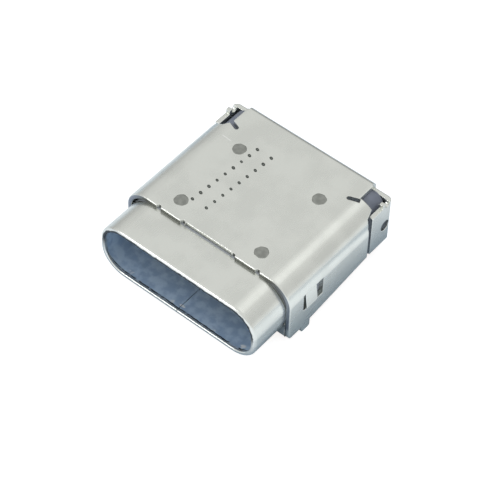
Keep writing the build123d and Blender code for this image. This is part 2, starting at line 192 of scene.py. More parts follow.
class SteelSettings(bpy.types.PropertyGroup):
    """Finish of the nickel-plated shells, with painted shade on end faces, inside the mouth and under the
    cover, and painted highlight on worn edges.
    """
    sheet: colour("Sheet", "Plated face of both shells", (0.785, 0.805, 0.755))
    # The worn colour lightens edges and rim, partly as wear and partly as painted highlight, and also the
    # nick and the small bright marks at the lip.
    worn: colour("Worn edge", "Edges that are rubbed bright", (0.93, 0.94, 0.91))
    # End faces of the cover in painted shade over the duller cut: dark along the front, paler where set
    # back in the middle, bluish down the sides. The bluish painted shade also tints the front tabs.
    end_face_shade: colour("Sheared edge", "End face of the cut sheet", (0.17, 0.175, 0.16))
    side_blue_shade: colour("Side edge", "End face of the cut sheet down the sides", (0.30, 0.33, 0.38))
    set_back_end_shade: colour("Set back edge", "End face in the middle, where it is set back", (0.52, 0.53, 0.49))
    # Painted shade on the tube wall under the cover, showing in the gap along the cover's front edge.
    cover_shade: colour("Covered", "Tube wall under the cover", (0.40, 0.425, 0.465))
    # Painted blue shade on the wall inside the mouth, with random darker mottles.
    inside: colour("Inside", "Tube wall inside the mouth", (0.52, 0.66, 0.80))
    mottle: colour("Inside mottles", "Darker mottles on the wall inside the mouth", (0.36, 0.49, 0.65))
    # Painted shadow along the lip.
    shadow: colour("Lip line", "Dark line at the lip", (0.035, 0.045, 0.055))
    roughness: share("Roughness", "Roughness of the satin plating", 0.25)
    spread: share("Roughness change", "How far the roughness changes over a face", 0.08)
    wear: share("Wear", "How far the worn edges show", 0.8)
    edge: length("Edge width", "Width of the worn band on the tube, the plates and the tabs", 0.07)
    cover_edge: length("Cover edge width", "Width of the worn band along most edges of the cover", 0.05)
    front_edge: length("Front edge width", "Width of the worn band along the cover's front edge", 0.10)
    corner_blend: length("Corner blend", "How much wider that band is at the lower front corners", 0.14)
    grain: length("Grain", "Size of the plating's grain", 0.05)
    cloud: length("Cloud", "Size of the slow changes of tone", 1.4)


class ResinSettings(bpy.types.PropertyGroup):
    """Finish of the moulded insulators."""
    # The resin's blue-grey is partly the dark plastic and partly a painted blue reflection.
    resin: colour("Resin", "Moulded insulator", (0.215, 0.240, 0.300))
    roughness: share("Roughness", "Roughness of the moulded skin", 0.45)
    spread: share("Roughness change", "How far the roughness changes over a face", 0.16)
    wear: share("Wear", "How far the pale edges show", 0.7)
    edge: length("Edge width", "Width of the pale band along an edge", 0.03)
    grain: length("Grain", "Size of the mould's texture", 0.04)
    cloud: length("Cloud", "Size of the slow changes of tone", 0.9)


class ContactSettings(bpy.types.PropertyGroup):
    """Finish of the contacts."""
    gold: colour("Gold", "Plating of the contact pads", (0.86, 0.62, 0.27))
    tin: colour("Tin", "Plating of the solder tails", (0.66, 0.67, 0.66))
    worn: colour("Worn edge", "Edges that are rubbed bright", (0.95, 0.85, 0.66))
    roughness: share("Roughness", "Roughness of the plating", 0.24)
    spread: share("Roughness change", "How far the roughness changes over a face", 0.10)
    wear: share("Wear", "How far the worn edges show", 0.5)
    edge: length("Edge width", "Width of the worn band along an edge", 0.02)
    grain: length("Grain", "Size of the plating's grain", 0.03)
    cloud: length("Cloud", "Size of the slow changes of tone", 0.6)


class WeldSettings(bpy.types.PropertyGroup):
    """Spots where the cover is welded to the tube."""
    metal: colour("Metal", "Matt face of a weld spot", (0.34, 0.352, 0.325))
    roughness: share("Roughness", "Roughness of a weld spot", 0.46)
    spread: share("Roughness change", "How far the roughness changes over a spot", 0.12)
    wear: share("Wear", "How far the dark edges show", 0.35)
    edge: length("Edge width", "Width of the dark band along a spot's edge", 0.02)
    grain: length("Grain", "Size of a spot's grain", 0.035)
    cloud: length("Cloud", "Size of the slow changes of tone", 0.25)
    diameter: length("Diameter", "Width of a weld spot", 0.66)
    half_spread: length("Half spread", "Distance of each spot from the middle", 2.28)
    front: length("Front row", "Distance of the front spots behind the rim", 2.98)
    rear: length("Rear row", "Distance of the rear spots behind the rim", 6.95)
    height: length("Height", "How far a spot stands proud", 0.010)


class TabSettings(bpy.types.PropertyGroup):
    """Tabs of the cover that turn in under the tube's lower corners."""
    inner_end: length("Inner end", "Distance of a tab's inner end from the middle", 3.92)
    setback: length("Setback", "Distance of a tab's face behind the cover's front edge", 0.02)
    sheet: length("Sheet", "Thickness of a tab", 0.20)
    play: length("Play", "Gap between a tab and the tube", 0.015)
    edge: length("Edge round", "Rounding of a tab's edges", 0.05)


class DotSettings(bpy.types.PropertyGroup):
    """Plain rows of laser-marked dots on the cover."""
    burnt: colour("Burnt", "Dark ring of a dot", (0.055, 0.062, 0.055))
    roughness: share("Roughness", "Least roughness of a dot", 0.45)
    edge: length("Edge width", "Rounding of a dot's edge in its shading", 0.01)
    grain: length("Grain", "Size of a dot's grain", 0.02)
    diameter: length("Diameter", "Width of a dot", 0.17)
    height: length("Height", "How far a dot stands proud", 0.004)
    front: length("Start", "Distance of the first dot behind the rim", 3.35)
    front_left: length("Start left", "Distance of the first dot to the left of the middle", 1.95)
    rear: length("End", "Distance of the last dot behind the rim", 7.45)
    rear_left: length("End left", "Distance of the last dot to the left of the middle", 1.65)
    gap: length("Gap", "Distance between both rows", 0.80)
    count: IntProperty(name="Count", description="Dots in each row", default=9, min=2)


class StageSettings(bpy.types.PropertyGroup):
    """Floor, light and camera."""
    floor: colour("Floor", "Lit colour of the floor", (0.45, 0.545, 0.65))
    glow: colour("Glow", "White of the floor that shadow doesn't reach", (0.84, 0.80, 0.76))
    mirrored: share("Mirrored", "Share of the glow that metal reflects", 0.74)
    fade: length("Fade", "How far round the object the mirrored floor stays dim", 2.2)
    front_lamp: share("Front lamp", "Brightness of the soft box in front", 4.2, 9.0)
    overhead_lamp: share("Overhead lamp", "Brightness of the soft box overhead", 0.28, 5.0)
    floor_size: length("Floor size", "Side of the square floor", 700)
    azimuth: angle("Azimuth", "Turn of the camera to the right", 38.69)
    elevation: angle("Elevation", "Height of the camera", 50.35)
    roll: angle("Roll", "Lean of the camera", 1.47)
    distance: length("Distance", "From the camera to the plane through the origin", 87.62)
    shift_right: length("Right", "Sideways place of the camera", 2.977)
    shift_up: length("Up", "Upright place of the camera", 2.034)
    lens: FloatProperty(name="Lens", description="Focal length on a sensor of 36 mm", default=148.95,
                        unit='CAMERA')


class ReceptacleSettings(bpy.types.PropertyGroup):
    """All settings of the receptacle's looks."""
    steel: PointerProperty(type=SteelSettings, name="Steel")
    resin: PointerProperty(type=ResinSettings, name="Resin")
    contact: PointerProperty(type=ContactSettings, name="Contacts")
    weld: PointerProperty(type=WeldSettings, name="Welds")
    tab: PointerProperty(type=TabSettings, name="Front tabs")
    dots: PointerProperty(type=DotSettings, name="Dots")
    stage: PointerProperty(type=StageSettings, name="Stage")


def put(tree, socket, value):
    """Links a node's output to a socket, or sets a plain value on it."""
    if isinstance(value, bpy.types.NodeSocket):
        tree.links.new(value, socket)
    else:
        socket.default_value = value


def node(tree, kind, inputs=None, **options):
    """Adds one node: options are its own settings, inputs its sockets' values or links."""
    made = tree.nodes.new(kind)
    for name, value in options.items():
        setattr(made, name, value)
    for key, value in (inputs or {}).items():
        put(tree, made.inputs[key], value)
    return made


def maths(tree, operation, a, b=0.0, c=0.0, clamp=False):
    """One step of arithmetic on one to three values."""
    values = {0: a, 1: b, 2: c}
    return node(tree, "ShaderNodeMath", values, operation=operation, use_clamp=clamp).outputs[0]


def scaled(tree, value, factor, offset=0.0, clamp=False):
    """A value times a factor, with an offset added."""
    return maths(tree, 'MULTIPLY_ADD', value, factor, offset, clamp)


def dimmed(tree, mask, loss):
    """1 outside a mask, and less by the loss where the mask is 1."""
    return scaled(tree, mask, -loss, 1.0)


def times(tree, *values):
    """Product of several masks."""
    product = values[0]
    for value in values[1:]:
        product = maths(tree, 'MULTIPLY', product, value)
    return product


def step(tree, value, low, high):
    """0 at low, 1 at high and a smooth step between, falling where high is below low."""
    ends = {0: value, 1: low, 2: high}
    return node(tree, "ShaderNodeMapRange", ends, interpolation_type='SMOOTHSTEP').outputs[0]


def between(tree, value, low, high, soft):
    """1 between low and high and 0 outside, with soft borders."""
    rise = step(tree, value, low - soft, low + soft)
    fall = step(tree, value, high + soft, high - soft)
    return times(tree, rise, fall)


def shade(tone, factor):
    """A colour made darker or lighter by a factor."""
    return [channel * factor for channel in tone]


def tint(tree, factor, a, b):
    """Colour a where the mask is 0 and colour b where it is 1."""
    full = [c if isinstance(c, bpy.types.NodeSocket) else (*c, 1.0) for c in (a, b)]
    return node(tree, "ShaderNodeMix", {0: factor, 6: full[0], 7: full[1]}, data_type='RGBA').outputs[2]


def noise(tree, spot, scale, detail=2.0):
    """Soft random value round a half, with so many waves in a metre."""
    return node(tree, "ShaderNodeTexNoise", {"Vector": spot, "Scale": scale, "Detail": detail}).outputs[0]


def place(tree):
    """Object coordinates and their three parts."""
    spot = node(tree, "ShaderNodeTexCoord").outputs["Object"]
    return spot, *node(tree, "ShaderNodeSeparateXYZ", {0: spot}).outputs


def new_group(name, inputs, outputs):
    """Empty node group with its named sockets: the tree, its inputs inside and its outputs inside."""
    tree = bpy.data.node_groups.new(name, "ShaderNodeTree")
    for label, default in inputs.items():
        socket = tree.interface.new_socket(name=label, in_out='INPUT', socket_type='NodeSocketFloat')
        socket.default_value = default
    for label, kind in outputs.items():
        tree.interface.new_socket(name=label, in_out='OUTPUT', socket_type=kind)
    enter = tree.nodes.new("NodeGroupInput")
    leave = tree.nodes.new("NodeGroupOutput")
    return tree, enter.outputs, leave.inputs


def edge_wear_group():
    """Worn edges: the normal rounded over them, and a mask of how far it turns, broken up by noise."""
    tree, given, result = new_group("Edge Wear", {"Width": 0.03 * MM, "Breakup": 5000.0},
                                    {"Mask": 'NodeSocketFloat', "Rounded": 'NodeSocketVector'})
    straight, turned = 0.985, 0.80
    whole, worn = 0.30, 0.55
    rounded = node(tree, "ShaderNodeBevel", {"Radius": given["Width"]}, samples=8).outputs[0]
    flat = node(tree, "ShaderNodeNewGeometry").outputs["Normal"]
    compared = node(tree, "ShaderNodeVectorMath", {0: rounded, 1: flat}, operation='DOT_PRODUCT')
    edge = step(tree, compared.outputs["Value"], straight, turned)
    spot = node(tree, "ShaderNodeTexCoord").outputs["Object"]
    broken = step(tree, noise(tree, spot, given["Breakup"], detail=3.0), whole, worn)
    put(tree, result["Mask"], times(tree, edge, broken))
    put(tree, result["Rounded"], rounded)
    return tree


def grain_group():
    """Fine skin of a plated or moulded face: a height for the bump and a mask of fine specks."""
    tree, given, result = new_group("Skin Grain", {"Size": 0.05 * MM},
                                    {"Height": 'NodeSocketFloat', "Specks": 'NodeSocketFloat'})
    coarseness, coarse_height = 0.22, 0.6
    bare, speckled = 0.62, 0.72
    spot = node(tree, "ShaderNodeTexCoord").outputs["Object"]
    small = noise(tree, spot, maths(tree, 'DIVIDE', 1.0, given["Size"]), detail=4.0)
    large = noise(tree, spot, maths(tree, 'DIVIDE', coarseness, given["Size"]))
    put(tree, result["Height"], scaled(tree, large, coarse_height, small))
    put(tree, result["Specks"], step(tree, small, bare, speckled))
    return tree


def tone_group():
    """Slow change of tone over a face, the same parted into patches, and faint rolling lines along Y."""
    tree, given, result = new_group("Sheet Tone", {"Size": 1.4 * MM, "Lines": 0.12 * MM},
                                    {"Cloud": 'NodeSocketFloat', "Patches": 'NodeSocketFloat',
                                     "Lines": 'NodeSocketFloat'})
    light, dark = 0.35, 0.65
    drawn_out = (1.0, 0.03, 1.0)
    spot = node(tree, "ShaderNodeTexCoord").outputs["Object"]
    cloud = noise(tree, spot, maths(tree, 'DIVIDE', 1.0, given["Size"]), detail=3.0)
    rolled = node(tree, "ShaderNodeVectorMath", {0: spot, 1: drawn_out}, operation='MULTIPLY').outputs[0]
    put(tree, result["Cloud"], cloud)
    put(tree, result["Patches"], step(tree, cloud, light, dark))
    put(tree, result["Lines"], noise(tree, rolled, maths(tree, 'DIVIDE', 1.0, given["Lines"])))
    return tree


def use_group(tree, name, build, **inputs):
    """Outputs of the shared group of that name, which is built at its first use and placed here."""
    made = tree.nodes.new("ShaderNodeGroup")
    made.node_tree = bpy.data.node_groups.get(name) or build()
    for label, value in inputs.items():
        put(tree, made.inputs[label], value)
    return made.outputs


def skin(tree, settings, edge_width):
    """Outputs of the three shared groups at a finish's own sizes: edge wear, grain and tone."""
    wear = use_group(tree, "Edge Wear", edge_wear_group, Width=edge_width)
    grain = use_group(tree, "Skin Grain", grain_group, Size=settings.grain)
    tone = use_group(tree, "Sheet Tone", tone_group, Size=settings.cloud)
    return wear, grain, tone


def new_material(name):
    """Material with its tree and its one Principled shader."""
    material = bpy.data.materials.new(name)
    material.use_nodes = True
    tree = material.node_tree
    return material, tree, tree.nodes["Principled BSDF"]


def finish(tree, shader, base, rough, metallic):
    """Feeds the colour, the roughness and the share of metal to the shader."""
    put(tree, shader.inputs["Base Color"], base)
    put(tree, shader.inputs["Roughness"], rough)
    put(tree, shader.inputs["Metallic"], metallic)


def bump(tree, shader, height, depth, rounded):
    """Feeds a height over the rounded edges to the shader's normal, depth being the real height of 1."""
    values = {"Height": height, "Distance": depth, "Strength": 1.0, "Normal": rounded}
    put(tree, shader.inputs["Normal"], node(tree, "ShaderNodeBump", values).outputs[0])


def changing_roughness(tree, settings, cloud):
    """Roughness that changes round its middle value with the slow changes of tone."""
    return scaled(tree, cloud, settings.spread, settings.roughness - settings.spread / 2)


def plated_sheet(tree, settings, edge_width):
    """Colour, roughness and height of satin plating, and its normal rounded over the worn edges."""
    specks_shown = 0.10
    line_roughness, worn_smoothness, line_height = 0.04, 0.12, 0.8
    wear, grain, tone = skin(tree, settings, edge_width)
    dull = shade(settings.sheet, 0.93)
    base = tint(tree, tone["Patches"], settings.sheet, dull)
    base = tint(tree, scaled(tree, grain["Specks"], specks_shown), base, dull)
    # Edges turn towards the worn colour: partly wear, partly painted highlight.
    base = tint(tree, scaled(tree, wear["Mask"], settings.wear), base, settings.worn)
    rough = changing_roughness(tree, settings, tone["Cloud"])
    rough = scaled(tree, tone["Lines"], line_roughness, rough)
    rough = scaled(tree, wear["Mask"], -worn_smoothness, rough, clamp=True)
    height = scaled(tree, tone["Lines"], line_height, grain["Height"])
    return base, rough, height, wear["Rounded"]


def nick_mask(tree, x, y):
    """Thin bright nick: 1 near the line between its two ends."""
    (x0, y0), (x1, y1) = NICK_ENDS
    run = math.hypot(x1 - x0, y1 - y0)
    along_x, along_y = (x1 - x0) / run, (y1 - y0) / run
    from_x = maths(tree, 'SUBTRACT', x, x0)
    from_y = maths(tree, 'SUBTRACT', y, y0)
    across = maths(tree, 'ADD', scaled(tree, from_x, -along_y), scaled(tree, from_y, along_x))
    along = maths(tree, 'ADD', scaled(tree, from_x, along_x), scaled(tree, from_y, along_y))
    thin = step(tree, maths(tree, 'ABSOLUTE', across), *NICK_ACROSS)
    return times(tree, thin, between(tree, along, 0.0, run, NICK_SOFT))


def cover_material(settings):
    """Satin plated sheet with one small nick on top, and end faces along its front edge that are duller
    from the cut and darkened with painted shade.

    Near the front edge the worn band, partly wear and partly painted highlight, is wider, and widest
    at the lower corners, where the sheet turns in under the tube and shows no end face.
    """
    corner_hidden, cut_roughness = 0.8, 0.12
    material, tree, shader = new_material("satin_cover_sheet")
    _, x, y, z = place(tree)
    near = step(tree, y, *NEAR_FRONT)
    corner = times(tree, near, step(tree, z, *NEAR_SKIRT))
    width = scaled(tree, near, settings.front_edge - settings.cover_edge, settings.cover_edge)
    width = scaled(tree, corner, settings.corner_blend, width)
    base, rough, height, rounded = plated_sheet(tree, settings, width)
    normal = node(tree, "ShaderNodeNewGeometry").outputs["Normal"]
    face_y = node(tree, "ShaderNodeSeparateXYZ", {0: normal}).outputs[1]
    end = times(tree, step(tree, face_y, *FACING_FRONT), near, dimmed(tree, corner, corner_hidden))
    aside = maths(tree, 'ABSOLUTE', x)
    # Painted shade on the end faces over the duller cut: dark, paler in the set back middle, bluish towards
    # the sides.
    cut = tint(tree, step(tree, aside, *TOWARDS_SIDES), settings.end_face_shade, settings.side_blue_shade)
    cut = tint(tree, step(tree, aside, *SET_BACK), cut, settings.set_back_end_shade)
    base = tint(tree, end, base, cut)
    nick = times(tree, nick_mask(tree, x, y), step(tree, z, *ON_TOP))
    base = tint(tree, nick, base, settings.worn)
    finish(tree, shader, base, scaled(tree, end, cut_roughness, rough), 1.0)
    bump(tree, shader, height, SHEET_BUMP, rounded)
    return material


def mouth_distance(tree, x, z):
    """Distance to the mouth's rounded outline: negative inside it and positive in the wall."""
    squares = []
    for value, half in zip((x, z), MOUTH_HALF):
        beyond = maths(tree, 'SUBTRACT', maths(tree, 'ABSOLUTE', value), half - MOUTH_CORNER)
        beyond = maths(tree, 'MAXIMUM', beyond, 0.0)
        squares.append(times(tree, beyond, beyond))
    reach = maths(tree, 'SQRT', maths(tree, 'ADD', *squares))
    return maths(tree, 'SUBTRACT', reach, MOUTH_CORNER)


def lip_shadow_line(tree, spot, y, z, distance):
    """Uneven painted shadow line: on the rim's face above the mouth, and just inside the rim below it."""
    gap, drawn = 0.36, 0.46
    waves = noise(tree, spot, 1 / LINE_WAVE)
    stray = scaled(tree, maths(tree, 'SUBTRACT', waves, 0.5), LINE_STRAY)
    upper = step(tree, z, *LINE_UPPER_HALF)
    depth = maths(tree, 'ADD', distance, stray)
    face = times(tree, upper, step(tree, depth, *LINE_RIM_DEPTH), step(tree, y, *LINE_RIM_FACE))
    inward = maths(tree, 'ADD', y, stray)
    reach = scaled(tree, step(tree, z, *LINE_BOTTOM), LINE_BOTTOM_EXTRA, LINE_WALL_REACH)
    past = maths(tree, 'SUBTRACT', inward, reach)
    on_wall = times(tree, step(tree, inward, *LINE_WALL_START),
                    step(tree, past, LINE_WALL_SOFT, -LINE_WALL_SOFT),
                    step(tree, distance, *LINE_WALL_SIDE))
    wall = times(tree, dimmed(tree, upper, 1.0), on_wall, step(tree, waves, gap, drawn))
    return maths(tree, 'MAXIMUM', face, wall)


def bright_lip_marks(tree, spot, y, z):
    """A few small bright marks just behind the lower lip."""
    plain_below, bright_above = 0.60, 0.66
    few = step(tree, noise(tree, spot, 1 / LIP_MARK_SIZE, detail=3.0), plain_below, bright_above)
    return times(tree, few, between(tree, y, *LIP_MARK_DEPTH, LIP_MARK_SOFT), step(tree, z, *LIP_MARK_LEVEL))


def tube_material(settings):
    """Satin plated tube: rim lightened by wear and painted highlight, matt inside the mouth in painted blue
    shade with mottles, matt with painted shade where the cover lies over it, and a painted shadow line at
    the lip.
    """
    lip_marks_shown, rim_wear_and_highlight = 0.8, 0.35
    added_roughness, inside_matt, covered_matt = 0.30, 0.55, 0.90
    dark, light = 0.36, 0.64
    material, tree, shader = new_material("satin_tube_sheet")
    base, rough, height, rounded = plated_sheet(tree, settings, settings.edge)
    spot, x, y, z = place(tree)
    distance = mouth_distance(tree, x, z)
    inside = times(tree, step(tree, distance, *WALL_INSIDE), step(tree, y, *BEHIND_RIM))
    cover_shade = times(tree, step(tree, y, *UNDER_COVER), step(tree, distance, *WALL_OUTSIDE))
    # Painted blue shade inside the mouth, mottled at random.
    mottles = step(tree, noise(tree, spot, 1 / MOTTLE_SIZE, detail=6.0), dark, light)
    wall = tint(tree, mottles, settings.mottle, settings.inside)
    wall = tint(tree, scaled(tree, bright_lip_marks(tree, spot, y, z), lip_marks_shown), wall, settings.worn)
    # Painted shade where the cover lies over the tube.
    base = tint(tree, cover_shade, base, settings.cover_shade)
    base = tint(tree, inside, base, wall)
    # The rim lightens, partly as wear and partly as painted highlight.
    base = tint(tree, scaled(tree, step(tree, y, *AT_RIM), rim_wear_and_highlight), base, settings.worn)
    # Painted shadow line at the lip.
    base = tint(tree, lip_shadow_line(tree, spot, y, z, distance), base, settings.shadow)
    rough = scaled(tree, maths(tree, 'MAXIMUM', inside, cover_shade), added_roughness, rough)
    matt = maths(tree, 'MAXIMUM', scaled(tree, inside, inside_matt), scaled(tree, cover_shade, covered_matt))
    finish(tree, shader, base, rough, dimmed(tree, matt, 1.0))
    bump(tree, shader, height, SHEET_BUMP, rounded)
    return material


def plate_material(settings):
    """Satin steel of the plates inside."""
    material, tree, shader = new_material("satin_inner_plate")
    base, rough, height, rounded = plated_sheet(tree, settings, settings.edge)
    finish(tree, shader, base, rough, 1.0)
    bump(tree, shader, height, PLATE_BUMP, rounded)
    return material


def tab_material(settings):
    """Satin plated tab, tinted all over towards the bluish painted shade of the side end faces."""
    painted_shade_share, added_roughness = 0.45, 0.10
    material, tree, shader = new_material("satin_front_tab")
    base, rough, height, rounded = plated_sheet(tree, settings, settings.edge)
    # Painted shade: the tab is tinted all over towards the bluish side shade.
    base = tint(tree, painted_shade_share, base, settings.side_blue_shade)
    finish(tree, shader, base, maths(tree, 'ADD', rough, added_roughness), 1.0)
    bump(tree, shader, height, PLATE_BUMP, rounded)
    return material


def resin_material(settings):
    """Dark moulded insulator, its blue-grey partly a painted reflection, with a fine mould texture and
    paler worn edges.
    """
    material, tree, shader = new_material("moulded_insulator")
    wear, grain, tone = skin(tree, settings, settings.edge)
    deep, pale = shade(settings.resin, 0.8), shade(settings.resin, 1.5)
    base = tint(tree, tone["Patches"], settings.resin, deep)
    base = tint(tree, scaled(tree, wear["Mask"], settings.wear), base, pale)
    finish(tree, shader, base, changing_roughness(tree, settings, tone["Cloud"]), 0.0)
    bump(tree, shader, grain["Height"], RESIN_BUMP, wear["Rounded"])
    return material


def contact_material(settings):
    """Gold plated pads that turn into tin plated solder tails."""
    tail_roughness = 0.16
    material, tree, shader = new_material("plated_contact")
    wear, grain, tone = skin(tree, settings, settings.edge)
    _, _, _, z = place(tree)
    tail = step(tree, z, TAIL_LEVEL + TAIL_SOFT, TAIL_LEVEL - TAIL_SOFT)
    deep = shade(settings.gold, 0.88)
    base = tint(tree, tone["Patches"], settings.gold, deep)
    base = tint(tree, tail, base, settings.tin)
    base = tint(tree, scaled(tree, wear["Mask"], settings.wear), base, settings.worn)
    rough = changing_roughness(tree, settings, tone["Cloud"])
    finish(tree, shader, base, scaled(tree, tail, tail_roughness, rough), 1.0)
    bump(tree, shader, grain["Height"], PLATE_BUMP, wear["Rounded"])
    return material


def weld_material(settings):
    """Matt, faintly rippled metal of a weld spot."""
    material, tree, shader = new_material("weld_spot_metal")
    wear, grain, tone = skin(tree, settings, settings.edge)
    deep, pale = shade(settings.metal, 0.88), shade(settings.metal, 1.12)
    base = tint(tree, tone["Patches"], deep, pale)
    base = tint(tree, scaled(tree, wear["Mask"], settings.wear), base, deep)
    finish(tree, shader, base, changing_roughness(tree, settings, tone["Cloud"]), 1.0)
    bump(tree, shader, grain["Height"], WELD_BUMP, wear["Rounded"])
    return material


def dot_material(settings):
    """Burnt dot: a dark ring round a paler middle, read from the radius in the piece's own map."""
    ring_end, middle_end = 0.52, 0.28
    middle_shown, specks_shown, grain_roughness = 0.8, 0.5, 0.2
    material, tree, shader = new_material("burnt_dot")
    kept = node(tree, "ShaderNodeUVMap").outputs[0]
    radius = node(tree, "ShaderNodeSeparateXYZ", {0: kept}).outputs[0]
    wear = use_group(tree, "Edge Wear", edge_wear_group, Width=settings.edge)
    grain = use_group(tree, "Skin Grain", grain_group, Size=settings.grain)
    middle = step(tree, radius, ring_end, middle_end)
    pale = shade(settings.burnt, 3.2)
    base = tint(tree, scaled(tree, middle, middle_shown), settings.burnt, pale)
    base = tint(tree, scaled(tree, grain["Specks"], specks_shown), base, pale)
    rough = scaled(tree, grain["Height"], grain_roughness, settings.roughness)
    finish(tree, shader, base, rough, 0.0)
    bump(tree, shader, grain["Height"], DOT_BUMP, wear["Rounded"])
    return material


def dress(name, material):
    """Gives a CAD node its one material and leaves its mesh as it is."""
    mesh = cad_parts[name].data
    mesh.materials.clear()
    mesh.materials.append(material)


def mesh_object(name, points, faces, material, radius=None):
    """Mesh from an array of points and a list of faces, with a radius at each point kept as its map."""
    mesh = bpy.data.meshes.new(name)
    mesh.from_pydata(points.tolist(), [], faces)
    mesh.polygons.foreach_set("use_smooth", np.ones(len(faces), bool))
    if radius is not None:
        corner = np.empty(len(mesh.loops), np.int32)
        mesh.loops.foreach_get("vertex_index", corner)
        layer = mesh.uv_layers.new(name="radius")
        layer.data.foreach_set("uv", np.repeat(radius[corner], 2).astype(np.float32))
    mesh.materials.append(material)
    mesh.update()
    made = bpy.data.objects.new(name, mesh)
    bpy.context.scene.collection.objects.link(made)
    return made


def button(centre, outline, height, grid, sunk):
    """Closed low button on a polar grid of so many rings and sectors, with a flat foot.

    At a share of the way out and a turn, a point lies that share of the outline's radius from the
    centre in the turn's direction, and the height given for both above the centre. The foot lies
    sunk below the centre. Points are the middle, the rings outwards, the foot's ring and the
    foot's middle. Returns the points, the faces and each point's share of the way out.
    """
    rings, sectors = grid
    shares = np.linspace(0.0, 1.0, rings + 1)[1:]
    turn = np.arange(sectors) * 2 * np.pi / sectors
    out = shares[:, None]
    x = centre[0] + out * outline(turn) * np.cos(turn)
    y = centre[1] + out * outline(turn) * np.sin(turn)
    z = centre[2] + height(out, turn[None, :])
    upper = np.stack([x, y, z], -1).reshape(-1, 3)
    foot = np.stack([x[-1], y[-1], np.full(sectors, centre[2] - sunk)], -1)
    middle = np.array([[centre[0], centre[1], centre[2] + float(height(0.0, 0.0))]])
    below = np.array([[centre[0], centre[1], centre[2] - sunk]])
    points = np.concatenate([middle, upper, foot, below])
    here = np.arange(sectors)
    after = (here + 1) % sectors
    ring = 1 + np.arange(rings)[:, None] * sectors
    top = np.stack([np.zeros(sectors, int), 1 + here, 1 + after], -1)
    sides = np.stack([ring + here, ring + sectors + here, ring + sectors + after, ring + after], -1)
    foot_ring = 1 + rings * sectors
    base = np.stack([foot_ring + after, foot_ring + here, np.full(sectors, len(points) - 1)], -1)
    faces = [*top.tolist(), *sides.reshape(-1, 4).tolist(), *base.tolist()]
    reach = np.concatenate([[0.0], np.repeat(shares, sectors), np.ones(sectors), [1.0]])
    return points, faces, reach


def front_tab(settings, side):
    """Closed tab that fills the corner between a side wall and the tube.

    Its section runs outwards from the inner end, with the skirt's level below it and above it the
    circle round the tube's corner that leaves the play: the square root of the radius squared less
    the sideways distance squared, taken down from the circle's middle. The section is carried back
    from the front, and drawn in along its own normals by a quarter circle at each rounded edge.
    """
    across, bends = 20, 5
    corner_x = MOUTH_HALF[0] - MOUTH_CORNER
    corner_z = MOUTH_CORNER - MOUTH_HALF[1]
    radius = tube_high.x - corner_x + settings.play
    turn = np.linspace(0.0, np.pi / 2, across)
    x = settings.inner_end + (corner_x + radius - settings.inner_end) * np.sin(turn)
    top = corner_z - np.sqrt(np.maximum(radius ** 2 - (x - corner_x) ** 2, 0.0))
    low = np.full_like(x, SKIRT_LOW)
    loop = np.concatenate([np.stack([x, low], -1), np.stack([x, top], -1)[::-1]])
    along = np.roll(loop, -1, 0) - np.roll(loop, 1, 0)
    inward = np.stack([-along[:, 1], along[:, 0]], -1) / np.linalg.norm(along, axis=1)[:, None]
    bend = np.linspace(0.0, np.pi / 2, bends)
    depth = settings.edge * (1 - np.cos(bend))
    depth = np.concatenate([depth, settings.sheet - depth[::-1]])
    inset = settings.edge * (1 - np.sin(bend))
    inset = np.concatenate([inset, inset[::-1]])
    rows = loop[None] + inset[:, None, None] * inward[None]
    y = COVER_FRONT + settings.setback + depth
    points = np.stack([side * rows[..., 0], np.broadcast_to(y[:, None], rows.shape[:2]), rows[..., 1]], -1)
    count = len(loop)
    here = np.arange(count)
    after = (here + 1) % count
    row = np.arange(len(y) - 1)[:, None] * count
    walls = np.stack([row + here, row + after, row + count + after, row + count + here], -1).reshape(-1, 4)
    first = np.arange(across - 1)
    cap = np.stack([first, count - 1 - first, count - 2 - first, first + 1], -1)
    faces = np.concatenate([walls, cap, cap[:, ::-1] + (len(y) - 1) * count])
    return points.reshape(-1, 3), (faces[:, ::-1] if side > 0 else faces).tolist()


class RECEPTACLE_OT_finish_cover(bpy.types.Operator):
    """Gives the folded cover its satin plating"""
    bl_idname = "receptacle.finish_cover"
    bl_label = "Finish Cover"
    bl_options = {'REGISTER', 'UNDO'}

    def execute(self, context):
        dress("cover", cover_material(context.scene.receptacle.steel))
        return {'FINISHED'}


class RECEPTACLE_OT_finish_tube(bpy.types.Operator):
    """Gives the inner tube its satin plating, a rim lightened by wear and painted highlight, a matt inside
    in painted blue shade, and painted shade under the cover
    """
    bl_idname = "receptacle.finish_tube"
    bl_label = "Finish Tube"
    bl_options = {'REGISTER', 'UNDO'}

    def execute(self, context):
        dress("inner_shell", tube_material(context.scene.receptacle.steel))
        return {'FINISHED'}


class RECEPTACLE_OT_finish_plates(bpy.types.Operator):
    """Gives the mid plate and both grounding plates their satin steel"""
    bl_idname = "receptacle.finish_plates"
    bl_label = "Finish Plates"
    bl_options = {'REGISTER', 'UNDO'}

    def execute(self, context):
        material = plate_material(context.scene.receptacle.steel)
        for name in ("mid_plate", "upper_ground_plate", "lower_ground_plate"):
            dress(name, material)
        return {'FINISHED'}


class RECEPTACLE_OT_finish_insulators(bpy.types.Operator):
    """Gives the tongue, the contact carriers and the rear housing their moulded skin"""
    bl_idname = "receptacle.finish_insulators"
    bl_label = "Finish Insulators"
    bl_options = {'REGISTER', 'UNDO'}

    def execute(self, context):
        material = resin_material(context.scene.receptacle.resin)
        for name in ("tongue", "upper_contact_carrier", "lower_contact_carrier", "rear_housing"):
            dress(name, material)
        return {'FINISHED'}


